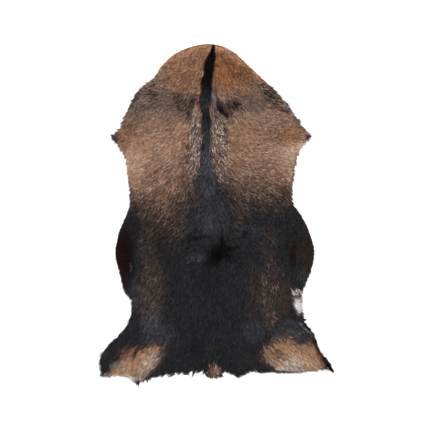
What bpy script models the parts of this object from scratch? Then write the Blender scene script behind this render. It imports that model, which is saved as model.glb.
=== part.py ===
"""A goatskin with its hair on, lying hair side up on the floor.

A goatskin is one piece, cut once round the edge, so it is one solid: the tanned hide and the coat that
grows on it. The solid is a lumpy slab with the outline of an opened-out hide. Its coat thins to a few
millimetres at the rim, where the hair gathers in locks that are fused to the slab at their roots.

Units are metres. The skin lies on Z = 0, +Y runs from the tail to the neck, and +X is the animal's
right side. The origin is on the floor, in the middle of the skin.
"""

import math
import random
from collections import namedtuple

import bmesh
import bpy
from mathutils import Vector, noise
from mathutils.geometry import delaunay_2d_cdt, interpolate_bezier

SKIN = "goatskin"

OUTLINE_STEPS = 3  # straight steps from each landmark to the next
COAT_GRID = 0.0140  # spacing of the points that carry the coat's relief
UNDERSIDE_GRID = 0.0180  # spacing of the points under a curled edge
RIM_MARGIN = 0.0060  # no relief point lies nearer to the edge
RIM_THICKNESS = 0.0035  # hide and hair at the cut edge
RIM_WIDTH = 0.030  # over which the coat grows from the rim's thickness to its own
COAT_THICKNESS = 0.0095  # hide and lying hair, away from the rim
LUMP_HEIGHT = 0.0016  # how far the coat's lumps rise and fall
LUMP_SIZE = 0.034
LUMP_STRETCH = 1.7  # lumps are longer along the back than across it
LEAST_COVER = 0.0030  # hide and coat are never thinner than this

LOCK_TIP_THICKNESS = 0.0008
TIP_SHARE_OF_LIFT = 0.6  # a tip hangs from a curled edge by this share of the curl
LOCK_LENGTH_SPREAD = 0.42  # locks vary by this share of their length
LOCK_TURN_SPREAD = math.radians(12)
TAILWARDS = Vector((0.0, -1.0))
LEFTWARDS = Vector((-1.0, 0.0))
RIGHTWARDS = Vector((1.0, 0.0))
SEED = 7

CLOSENESS = 0.00001  # points nearer than this are one point
SHARP_FROM = math.radians(40)  # edges with a wider bend than this stay sharp
COAT_COLOUR = (0.075, 0.055, 0.045, 1.0)
COAT_ROUGHNESS = 0.75

# Landmarks round the cut edge, clockwise from the neck as the skin is seen from above. The edge turns
# sharply at a corner and runs smoothly through the others.
Landmark = namedtuple("Landmark", "name x y corner")
SMOOTH, CORNER = False, True
OUTLINE = [
    Landmark("neck", -0.014, 0.478, SMOOTH),
    Landmark("nape_right", 0.033, 0.465, SMOOTH),
    Landmark("neck_right_top", 0.076, 0.430, SMOOTH),
    Landmark("neck_right", 0.115, 0.391, SMOOTH),
    Landmark("neck_right_low", 0.150, 0.358, SMOOTH),
    Landmark("shoulder_right_top", 0.178, 0.325, SMOOTH),
    Landmark("shoulder_right", 0.205, 0.287, SMOOTH),
    Landmark("shoulder_right_low", 0.240, 0.241, SMOOTH),
    Landmark("elbow_right", 0.258, 0.217, CORNER),
    Landmark("armpit_right", 0.230, 0.187, SMOOTH),
    Landmark("ribs_right", 0.216, 0.140, SMOOTH),
    Landmark("waist_right", 0.209, 0.080, SMOOTH),
    Landmark("waist_right_low", 0.210, 0.036, SMOOTH),
    Landmark("belly_right_top", 0.233, 0.003, SMOOTH),
    Landmark("belly_right_high", 0.256, -0.038, SMOOTH),
    Landmark("belly_right", 0.273, -0.100, SMOOTH),
    Landmark("belly_right_low", 0.264, -0.158, SMOOTH),
    Landmark("groin_right", 0.232, -0.230, SMOOTH),
    Landmark("knee_right", 0.234, -0.266, SMOOTH),
    Landmark("thigh_right", 0.244, -0.300, SMOOTH),
    Landmark("shank_right_top", 0.267, -0.328, SMOOTH),
    Landmark("shank_right", 0.278, -0.354, SMOOTH),
    Landmark("shank_right_low", 0.288, -0.384, SMOOTH),
    Landmark("hock_right_top", 0.311, -0.408, SMOOTH),
    Landmark("hock_right", 0.3276, -0.4430, CORNER),
    Landmark("hock_notch_right", 0.309, -0.426, CORNER),
    Landmark("patch_right", 0.236, -0.438, SMOOTH),
    Landmark("rump_right", 0.140, -0.438, SMOOTH),
    Landmark("rump_notch_right", 0.090, -0.434, SMOOTH),
    Landmark("rump_lobe_right", 0.063, -0.450, SMOOTH),
    Landmark("tail_root_right", 0.021, -0.434, SMOOTH),
    Landmark("tail_right", 0.008, -0.449, SMOOTH),
    Landmark("tail_left", -0.022, -0.449, SMOOTH),
    Landmark("tail_root_left", -0.036, -0.433, SMOOTH),
    Landmark("rump_left_inner", -0.086, -0.437, SMOOTH),
    Landmark("rump_left", -0.140, -0.443, SMOOTH),
    Landmark("patch_left_inner", -0.190, -0.454, SMOOTH),
    Landmark("patch_left", -0.224, -0.467, CORNER),
    Landmark("patch_left_hem", -0.243, -0.448, SMOOTH),
    Landmark("patch_left_outer", -0.262, -0.446, SMOOTH),
    Landmark("hock_left", -0.319, -0.450, CORNER),
    Landmark("hock_left_top", -0.324, -0.401, CORNER),
    Landmark("shank_left", -0.305, -0.369, SMOOTH),
    Landmark("thigh_left", -0.266, -0.331, SMOOTH),
    Landmark("knee_left", -0.242, -0.290, SMOOTH),
    Landmark("groin_left", -0.237, -0.238, SMOOTH),
    Landmark("flap_end_left", -0.254, -0.215, SMOOTH),
    Landmark("belly_left_low", -0.267, -0.178, SMOOTH),
    Landmark("belly_left", -0.2825, -0.106, SMOOTH),
    Landmark("belly_left_high", -0.272, -0.046, SMOOTH),
    Landmark("belly_left_top", -0.250, 0.003, SMOOTH),
    Landmark("waist_left", -0.238, 0.046, SMOOTH),
    Landmark("ribs_left", -0.244, 0.110, SMOOTH),
    Landmark("ribs_left_high", -0.252, 0.156, SMOOTH),
    Landmark("armpit_left", -0.265, 0.187, SMOOTH),
    Landmark("elbow_left", -0.292, 0.217, CORNER),
    Landmark("shoulder_left_low", -0.266, 0.242, SMOOTH),
    Landmark("shoulder_left", -0.246, 0.291, SMOOTH),
    Landmark("shoulder_left_top", -0.215, 0.343, SMOOTH),
    Landmark("neck_left_low", -0.175, 0.380, SMOOTH),
    Landmark("neck_left", -0.149, 0.420, SMOOTH),
    Landmark("neck_left_top", -0.112, 0.453, SMOOTH),
    Landmark("nape_left", -0.062, 0.473, SMOOTH),
]

# Where the coat stands higher or lower than elsewhere, as soft rounded patches.
Relief = namedtuple("Relief", "name x y half_width half_length rise")
RELIEF = [
    Relief("mane", -0.020, 0.330, 0.030, 0.120, 0.0030),
    Relief("wool_left", -0.056, 0.200, 0.026, 0.080, 0.0024),
    Relief("wool_right", 0.018, 0.190, 0.026, 0.080, 0.0024),
    Relief("withers", -0.010, 0.030, 0.050, 0.110, 0.0020),
    Relief("shoulder_left", -0.150, 0.250, 0.070, 0.080, 0.0022),
    Relief("shoulder_right", 0.130, 0.250, 0.070, 0.080, 0.0022),
    Relief("whorl", 0.018, -0.099, 0.016, 0.018, -0.0045),
    Relief("whorl_brow", -0.020, -0.066, 0.040, 0.022, 0.0020),
    Relief("belly_left", -0.262, -0.090, 0.030, 0.090, -0.0045),
    Relief("belly_right", 0.250, -0.090, 0.030, 0.090, -0.0045),
    Relief("rump", 0.000, -0.300, 0.130, 0.090, 0.0012),
    Relief("patch_left", -0.215, -0.415, 0.050, 0.040, 0.0026),
    Relief("patch_right", 0.205, -0.405, 0.060, 0.035, 0.0026),
    Relief("parting_left", -0.240, -0.388, 0.008, 0.022, -0.0035),
]

# Where the edge of the stiff hide curls a little off the floor.
Curl = namedtuple("Curl", "name x y radius lift")
CURLS = [
    Curl("elbow_left", -0.292, 0.214, 0.055, 0.0090),
    Curl("elbow_right", 0.254, 0.214, 0.055, 0.0075),
    Curl("neck_left", -0.150, 0.424, 0.060, 0.0050),
    Curl("neck_right", 0.120, 0.385, 0.070, 0.0045),
    Curl("belly_left", -0.284, -0.100, 0.065, 0.0080),
    Curl("belly_right", 0.274, -0.110, 0.065, 0.0065),
    Curl("groin_right", 0.238, -0.246, 0.040, 0.0030),
    Curl("hock_left", -0.325, -0.410, 0.060, 0.0080),
    Curl("hock_right", 0.326, -0.440, 0.060, 0.0095),
]

# Locks of hair along the edge, from one landmark to the next named one. Lean is how far a lock is
# combed from straight outwards towards the given way.
LockRun = namedtuple("LockRun", "start end length width pitch lean_deg towards")
LOCK_RUNS = [
    LockRun("neck_right_low", "shoulder_right_low", 0.010, 0.008, 0.0125, 35, TAILWARDS),
    LockRun("shoulder_right_low", "elbow_right", 0.011, 0.007, 0.0110, 40, TAILWARDS),
    LockRun("elbow_right", "ribs_right", 0.008, 0.008, 0.0130, 25, TAILWARDS),
    LockRun("ribs_right", "waist_right_low", 0.007, 0.008, 0.0150, 35, TAILWARDS),
    LockRun("groin_right", "thigh_right", 0.008, 0.007, 0.0105, 20, TAILWARDS),
    LockRun("thigh_right", "hock_right", 0.005, 0.008, 0.0180, 55, TAILWARDS),
    LockRun("hock_notch_right", "rump_right", 0.007, 0.008, 0.0130, 35, RIGHTWARDS),
    LockRun("rump_right", "tail_root_right", 0.010, 0.010, 0.0150, 30, RIGHTWARDS),
    LockRun("tail_root_right", "tail_root_left", 0.010, 0.008, 0.0120, 0, TAILWARDS),
    LockRun("tail_root_left", "rump_left", 0.013, 0.010, 0.0160, 40, LEFTWARDS),
    LockRun("rump_left", "patch_left_inner", 0.012, 0.009, 0.0140, 40, LEFTWARDS),
    LockRun("patch_left_inner", "patch_left", 0.011, 0.009, 0.0120, 10, LEFTWARDS),
    LockRun("patch_left", "patch_left_outer", 0.008, 0.009, 0.0135, 35, LEFTWARDS),
    LockRun("patch_left_outer", "hock_left", 0.008, 0.009, 0.0135, 35, LEFTWARDS),
    LockRun("hock_left", "hock_left_top", 0.008, 0.008, 0.0120, 35, TAILWARDS),
    LockRun("hock_left_top", "thigh_left", 0.005, 0.008, 0.0180, 55, TAILWARDS),
    LockRun("groin_left", "belly_left_low", 0.005, 0.008, 0.0160, 50, TAILWARDS),
    LockRun("waist_left", "ribs_left_high", 0.007, 0.008, 0.0150, 35, TAILWARDS),
    LockRun("ribs_left_high", "elbow_left", 0.008, 0.008, 0.0130, 25, TAILWARDS),
    LockRun("elbow_left", "shoulder_left_low", 0.011, 0.007, 0.0110, 40, TAILWARDS),
    LockRun("shoulder_left_low", "neck_left_low", 0.010, 0.008, 0.0125, 35, TAILWARDS),
]

# A point of the rim, and whether it is the tip of a lock.
RimPoint = namedtuple("RimPoint", "place is_tip")


def clear_scene():
    for stale in list(bpy.data.objects):
        bpy.data.objects.remove(stale)


def smooth_step(value):
    """0 below 0 and 1 above 1, with a smooth rise between."""
    held = min(max(value, 0.0), 1.0)
    return held * held * (3.0 - 2.0 * held)


def trace_edge():
    """The points along the cut edge in order, and where each landmark comes among them."""
    places = [Vector((landmark.x, landmark.y)) for landmark in OUTLINE]
    count = len(places)
    edge = []
    landmark_at = {}
    for index, landmark in enumerate(OUTLINE):
        start, end = places[index], places[(index + 1) % count]
        before = start if landmark.corner else places[index - 1]
        after = end if OUTLINE[(index + 1) % count].corner else places[(index + 2) % count]
        reach = (end - start).length / 3
        leaving = start + (end - before).normalized() * reach
        arriving = end - (after - start).normalized() * reach
        landmark_at[landmark.name] = len(edge)
        edge.extend(interpolate_bezier(start, leaving, arriving, end, OUTLINE_STEPS + 1)[:-1])
    return edge, landmark_at


def place_along(stretch, wanted):
    """The place that far along a stretch of the edge, and the way straight out from the edge there."""
    for start, end in zip(stretch, stretch[1:]):
        way = end - start
        if wanted <= way.length:
            break
        wanted -= way.length
    return start + way.normalized() * wanted, Vector((-way.y, way.x)).normalized()


def rim_of_locks(run, stretch, rng):
    """Rim points of one run of locks, combed outwards and to its own way, a pitch apart."""
    length = sum((end - start).length for start, end in zip(stretch, stretch[1:]))
    count = round(length / run.pitch)
    pitch = length / count
    rim = [RimPoint(stretch[0], False)]
    for index in range(count):
        middle = (index + 0.5) * pitch
        base, outwards = place_along(stretch, middle)
        lean = math.radians(run.lean_deg) + rng.uniform(-1, 1) * LOCK_TURN_SPREAD
        combed = (outwards * math.cos(lean) + run.towards * math.sin(lean)).normalized()
        reach = run.length * (1 + rng.uniform(-1, 1) * LOCK_LENGTH_SPREAD)
        rim.append(RimPoint(place_along(stretch, middle - run.width / 2)[0], False))
        rim.append(RimPoint(base + combed * reach, True))
        rim.append(RimPoint(place_along(stretch, middle + run.width / 2)[0], False))
    return rim


def make_rim(edge, landmark_at):
    """Every point of the rim in order: the bare edge, and the locks that stand out of it."""
    rng = random.Random(SEED)
    run_at = {landmark_at[run.start]: run for run in LOCK_RUNS}
    rim = []
    index = 0
    while index < len(edge):
        run = run_at.get(index)
        if run:
            end = landmark_at[run.end]
            rim.extend(rim_of_locks(run, edge[index:end + 1], rng))
            index = end
        else:
            rim.append(RimPoint(edge[index], False))
            index += 1
    return rim


def distance_to_edge(place, edge):
    """How far a place on the floor is from the cut edge."""
    nearest = math.inf
    for index, start in enumerate(edge):
        along = edge[(index + 1) % len(edge)] - start
        share = (place - start).dot(along) / along.length_squared
        foot = start + along * min(max(share, 0.0), 1.0)
        nearest = min(nearest, (place - foot).length)
    return nearest


def floor_gap(place):
    """How far the underside of the hide is off the floor."""
    gap = 0.0
    for curl in CURLS:
        reach = (place - Vector((curl.x, curl.y))).length / curl.radius
        gap = max(gap, curl.lift * smooth_step(1.0 - reach))
    return gap


def is_near_curl(place):
    """Whether the underside needs a point here, to follow a curled edge."""
    return any(
        (place - Vector((curl.x, curl.y))).length < curl.radius + UNDERSIDE_GRID for curl in CURLS
    )


def coat_thickness(place, edge):
    """Thickness of hide and coat together."""
    grown = smooth_step(distance_to_edge(place, edge) / RIM_WIDTH)
    thickness = RIM_THICKNESS + (COAT_THICKNESS - RIM_THICKNESS) * grown
    for relief in RELIEF:
        across = (place.x - relief.x) / relief.half_width
        along = (place.y - relief.y) / relief.half_length
        thickness += relief.rise * grown * math.exp(-across * across - along * along)
    sample = Vector((place.x / LUMP_SIZE, place.y / (LUMP_SIZE * LUMP_STRETCH), 0.0))
    thickness += LUMP_HEIGHT * grown * noise.noise(sample)
    return max(thickness, LEAST_COVER)


def is_inside(place, edge):
    """Whether the cut edge goes round a place."""
    inside = False
    for index, start in enumerate(edge):
        end = edge[(index + 1) % len(edge)]
        if (start.y > place.y) != (end.y > place.y):
            share = (place.y - start.y) / (end.y - start.y)
            if place.x < start.x + (end.x - start.x) * share:
                inside = not inside
    return inside


def grid_inside(spacing, edge):
    """Points in staggered rows that lie inside the edge and clear of it."""
    row_spacing = spacing * math.sqrt(3) / 2
    columns = math.ceil(max(abs(point.x) for point in edge) / spacing)
    rows = math.ceil(max(abs(point.y) for point in edge) / row_spacing)
    inside = []
    for row in range(-rows, rows + 1):
        for column in range(-columns, columns + 1):
            place = Vector(((column + row % 2 / 2) * spacing, row * row_spacing))
            if is_inside(place, edge) and distance_to_edge(place, edge) > RIM_MARGIN:
                inside.append(place)
    return inside


def add_cover(mesh, rim_verts, inner_verts, facing_up):
    """Triangles from the rim inwards, over the coat or under the hide."""
    verts = rim_verts + inner_verts
    count = len(rim_verts)
    border = [(index, (index + 1) % count) for index in range(count)]
    places = [vert.co.xy for vert in verts]
    inside_border = 1
    _, _, triangles, sources, _, _ = delaunay_2d_cdt(places, border, [], inside_border, CLOSENESS)
    for triangle in triangles:
        corners = [verts[sources[corner][0]] for corner in triangle]
        mesh.faces.new(corners if facing_up else reversed(corners))


def make_skin_mesh():
    """Hide and coat as one closed shape, whose upper and lower sides share a rim."""
    edge, landmark_at = trace_edge()
    rim = make_rim(edge, landmark_at)
    mesh = bmesh.new()
    rim_low = []
    rim_high = []
    for place, is_tip in rim:
        low = floor_gap(place) * (TIP_SHARE_OF_LIFT if is_tip else 1.0)
        high = low + (LOCK_TIP_THICKNESS if is_tip else RIM_THICKNESS)
        rim_low.append(mesh.verts.new((*place, low)))
        rim_high.append(mesh.verts.new((*place, high)))
    coat = []
    for place in grid_inside(COAT_GRID, edge):
        coat.append(mesh.verts.new((*place, floor_gap(place) + coat_thickness(place, edge))))
    underside = []
    for place in grid_inside(UNDERSIDE_GRID, edge):
        if is_near_curl(place):
            underside.append(mesh.verts.new((*place, floor_gap(place))))
    add_cover(mesh, rim_high, coat, facing_up=True)
    add_cover(mesh, rim_low, underside, facing_up=False)
    for index in range(len(rim)):
        before = index - 1
        mesh.faces.new((rim_low[index], rim_low[before], rim_high[before]))
        mesh.faces.new((rim_low[index], rim_high[before], rim_high[index]))
    centre(mesh)
    return mesh


def centre(mesh):
    """Moves the middle of the skin over the origin."""
    for axis in (0, 1):
        reach = [vert.co[axis] for vert in mesh.verts]
        middle = (min(reach) + max(reach)) / 2
        for vert in mesh.verts:
            vert.co[axis] -= middle


def make_coat_material():
    material = bpy.data.materials.new("dark_brown_coat")
    material.use_nodes = True
    shader = material.node_tree.nodes["Principled BSDF"]
    shader.inputs["Base Color"].default_value = COAT_COLOUR
    shader.inputs["Roughness"].default_value = COAT_ROUGHNESS
    shader.inputs["Metallic"].default_value = 0.0
    return material


def main():
    clear_scene()
    collection = bpy.data.collections.new(SKIN)
    bpy.context.scene.collection.children.link(collection)
    mesh = make_skin_mesh()
    data = bpy.data.meshes.new(SKIN)
    mesh.to_mesh(data)
    mesh.free()
    data.shade_smooth()
    data.set_sharp_from_angle(angle=SHARP_FROM)
    data.materials.append(make_coat_material())
    collection.objects.link(bpy.data.objects.new(SKIN, data))


main()
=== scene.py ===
"""The looks of a goatskin that lies hair side up on a pale floor, seen from straight above.

The tanned hide, the dense undercoat and the guard hair are built over the skin's solid, which gives the
cut edge, the height of the coat and the gap under each curled edge. The colours of the coat are soft
patches of a short palette, mixed hair by hair.

Units are metres, and millimetres in the names that end in mm and in the tables of the cape, the patches,
the stripe, the combing, the growth and the wisps. The skin lies on Z = 0, +Y runs from the tail to the
neck, and +X is the animal's right side.
"""

from collections import namedtuple

import bmesh
import bpy
import numpy as np
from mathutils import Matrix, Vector
from mathutils.bvhtree import BVHTree
from mathutils.geometry import delaunay_2d_cdt
from mathutils.kdtree import KDTree


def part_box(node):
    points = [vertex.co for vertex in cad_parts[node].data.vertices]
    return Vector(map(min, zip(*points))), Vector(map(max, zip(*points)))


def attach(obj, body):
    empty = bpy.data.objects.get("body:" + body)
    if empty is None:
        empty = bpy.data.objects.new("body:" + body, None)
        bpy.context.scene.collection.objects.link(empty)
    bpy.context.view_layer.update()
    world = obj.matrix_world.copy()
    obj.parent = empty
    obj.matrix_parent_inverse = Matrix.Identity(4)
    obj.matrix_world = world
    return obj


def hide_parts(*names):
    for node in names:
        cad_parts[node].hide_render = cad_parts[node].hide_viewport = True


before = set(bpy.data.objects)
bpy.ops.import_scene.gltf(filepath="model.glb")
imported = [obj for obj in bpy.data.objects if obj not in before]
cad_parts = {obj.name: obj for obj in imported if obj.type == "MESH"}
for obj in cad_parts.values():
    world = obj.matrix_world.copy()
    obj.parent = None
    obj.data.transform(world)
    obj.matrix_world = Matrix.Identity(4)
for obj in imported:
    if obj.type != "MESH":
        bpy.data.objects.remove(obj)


def table(columns, rows, defaults=()):
    """Rows whose values are read by the names of their columns, the last of which can have defaults."""
    row_type = namedtuple("Row", columns, defaults=defaults)
    return [row_type(*row) for row in rows]


SKIN = "goatskin"
BODY = "root"
MM = 0.001
SEED = 11

# The floor plan of the skin, sampled on a regular grid.
GRID_STEP = 0.0025
GRID_MARGIN = 0.030
RAY_START = 0.1  # above the coat and below the floor
EDGE_STEP = 0.001  # spacing of the samples along the cut edge
SPREAD_STEPS = 14  # grid steps by which heights are carried on past the edge
GRID_END = 1.001  # keeps places just short of a grid's last point
WELD = 0.000002
UNDERSIDE_SLOPE = -0.05  # a face of the underside points further down than this
WALL_SLOPE = 0.01  # a face of the cut edge points up or down by less than this
TIP_THICKNESS = 0.002  # a thinner place of the rim is the tip of a lock

# The hide and the undercoat.
HIDE_INSET = 0.0006
HIDE_THICKNESS = 0.0016
HIDE_GRID = 0.009
UNDERCOAT_INSET = 0.0010
UNDERCOAT_GRID = 0.0045
UNDERCOAT_DEPTH = 0.0026  # how far the undercoat stays below the top of the coat
UNDERCOAT_LIFT = 0.0004  # clear of the hide
LEAST_UNDERCOAT = 0.0003
# The undercoat takes the coat's colours at this share: painted shade deep in the coat, between the hairs.
UNDERCOAT_PAINTED_SHADE = 0.50
CLOSENESS = 1e-7  # points nearer than this are one point
UV_MARGIN = 0.02
UV_LEAN = (0.3, 0.6)  # how far a point's place on the map moves with its height

# The guard hair.
CLUMP_SPACING = 0.0027
CLUMP_JITTER = 0.45  # share of the spacing
HAIRS_PER_CLUMP = 4
CLUMP_RADIUS = 0.0015
HAIR_LENGTH = 0.0155
CLUMP_LENGTH_SPREAD = 0.30
HAIR_LENGTHS = (0.75, 1.1)  # shortest and longest, as a share of the clump's length
HAIR_WIDTH = 0.0010
HAIR_WIDTHS = (0.8, 1.2)  # narrowest and widest, as a share of the usual width
MIDDLE_WIDTH_SHARE = 0.90
MIDDLE_AT = 0.45  # share of the length where a hair bends
SHOWN_AT = 0.60  # share of the length that shows between the hairs above
TIP_PULL = 0.60  # how far the tips of a clump draw together
TIP_PULLS = (0.6, 1.2)  # least and most, as a share of the usual pull
CLUMP_TURN_DEG = 15
LEAST_TURN_DEG = 3
HAIR_TURN_DEG = 7
SIDE_BEND = 0.0005
ROLL_DEG = 30  # spread of how far a hair is turned about its length
ROOT_DEPTH = 0.0042
ROOT_HOLD = 0.0004  # how deep a root reaches into the hide
MIDDLE_DEPTH = 0.0013
TIP_DEPTH = 0.0001
CLUMP_RISE = 0.0011
CLUMP_RISES = (-0.4, 1)  # lowest and highest, as a share of the rise
LEAST_RISE = 0.0002
HAIR_RISE = 0.0005
MIDDLE_RISE_SHARE = 0.7  # of the rise of a hair's tip
EDGE_RISE_SHARE = 0.3  # of the rise inside the skin that is left at the edge
EDGE_ROOM = 0.02  # the hair lies at its full depth this far inside the edge
EDGE_CLEARANCE = 0.0009  # no clump has its root nearer to the cut edge
FRINGE_REACH = 0.015  # how far along the edge a lock's length counts
LEAST_FRINGE = 0.0022
FRINGES = (0.2, 1.6)  # shortest and longest, as a share of the reach over the edge
SHORTEST_KEPT = 0.2  # a hair at the edge keeps at least this share of its length
LEAST_DROP = 0.0001  # how far a hair is taken to run towards the edge, at least
STRAY_SHARE = 0.35  # of the hairs reach further out at the edge
STRAY_REACH = (0.5, 2.8)  # how much further, as a share of the others' reach
FRINGE_THINNING = 0.25  # how much finer a hair is that hangs over the edge
FINE_FROM = 0.004  # past the edge
DROOP_WIDTH = 0.008  # past the edge, where a tip hangs lowest
DROOP_SHARE = 0.6  # of the height of a curled edge at which the lowest tips hang
DROOP_CLEARANCE = 0.0008
LEAST_TIP_SHARE = 0.5  # of the height of a curled edge, and no tip is lower
FLOOR_CLEARANCE = 0.0004
HAIRS_PER_LOCK = 34
LOCK_ROOT_SPREAD = 0.45  # share of the width of a lock's base
LOCK_ROOT_DEPTHS = (0.001, 0.007)  # least and most, inwards from the lock's base
LOCK_TIP_SPREAD = 0.0011
LOCK_FLARE = 2.5  # how much wider the shortest hairs spread than those that reach the tip
LOCK_REACH = (0.80, 1.75)  # the longest hair of a lock, as a share of the lock
LOCK_SHORTEST = 0.35  # the shortest hair, as a share of the longest
WISP_REACH = (0.95, 1.05)

HAIR_GLOSS = 0.06
# Hair is darker at the root and lighter at the tip: partly its own colour, partly painted shade deep in
# the coat.
ROOT_SHADE = 0.42
MIDDLE_SHADE = 0.92
TIP_SHADE = 1.12
CLUMP_TONE = 0.24  # spread of brightness from clump to clump
HAIR_TONE = 0.58  # and from hair to hair
TONE_LIMITS = (-2.2, 1.1)
DARK_BELOW = 0.03  # the blacker the hair, the less its warmth varies
CLOUD_TONE = 0.10
TONE_CLOUD_SIZE = 0.012
WARMTH = 0.06  # spread from warmer to cooler hairs
CLOUD_WARMTH = 0.05
WARMTH_CLOUD_SIZES = (0.030, 0.009)
GREENNESS = 0.045
TONE_EVENNESS = 0.38  # how far lighter hairs are paler, and darker hairs deeper, in colour
CLUMP_PICK_SHARE = 0.72  # of the hairs take a streaky colour or not as their clump does
NOISE_DETAIL = 3.0
NOISE_LEVELS = {"From Min": 0.3, "From Max": 0.7, "To Min": 0.85, "To Max": 1.15}

# The suede of the hide: where its two colours lie in the clouds, from 0 to 1, and their levels.
SUEDE_COLOURS = [(0.30, (196, 178, 152)), (0.75, (222, 209, 186))]
SUEDE_CLOUDS = {"Scale": 14.0, "Detail": 6.0}
SUEDE_NAP_SCALE = 900.0
SUEDE_BUMP = {"Strength": 0.25, "Distance": 0.0004}

# Colours of the coat as they look in the studio's light, from 0 to 255.
PALETTE = {
    "jet": (17, 16, 17),
    "ink": (28, 28, 30),
    "night": (41, 44, 48),
    "black": (36, 36, 38),
    "slate": (53, 54, 58),
    "steel": (62, 65, 71),
    "lead": (67, 64, 65),
    "ash": (112, 106, 101),
    "ginger": (132, 98, 76),
    "chestnut": (110, 73, 48),
    "amber": (134, 91, 58),
    "dun": (102, 83, 73),
    "taupe": (100, 81, 70),
    "smoke": (78, 66, 60),
    "sepia": (68, 57, 53),
    "soot": (52, 45, 43),
    "fawn": (126, 99, 84),
    "ochre": (132, 101, 75),
    "honey": (160, 118, 88),
    "sand": (153, 121, 100),
    "straw": (176, 147, 124),
    "rust": (124, 86, 64),
    "wool": (155, 134, 122),
    "frost": (145, 129, 121),
    "umber": (52, 44, 42),
    "bay": (31, 18, 15),
    "liver": (42, 36, 34),
    "tan": (150, 115, 92),
    "cream": (182, 169, 157),
    "white": (208, 205, 202),
}

SHEEN = 0.0045  # what the gloss of the hair adds to each colour
LEAST_COLOUR = 0.0012
COLOUR_GAIN = 1.05  # makes up for the shade that the hairs cast on one another

# Borders and patches wander from their places with smooth clouds of these sizes.
WANDERS = table("cloud_size reach_mm", [
    (0.030, 5.0),
    (0.008, 2.5),
])

# How far back the brown cape reaches: full brown above one line, and none of it below the other.
CAPE_BORDER = table("x full none", [
    (-330, 75, -10),
    (-227, 78, 0),
    (-185, 84, -66),
    (-143, 74, -78),
    (-101, 137, -94),
    (-59, 172, 4),
    (-17, 190, 70),
    (25, 150, 42),
    (67, 141, -28),
    (109, 132, 0),
    (151, 122, -12),
    (193, 110, 4),
    (235, 100, 20),
])
CAPE_FADE = table("share colour", [
    (0.0, "black"),
    (0.2, "umber"),
    (0.4, "sepia"),
    (0.65, "taupe"),
    (1.0, "fawn"),
])
FADE_STREAKS = 0.50

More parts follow.
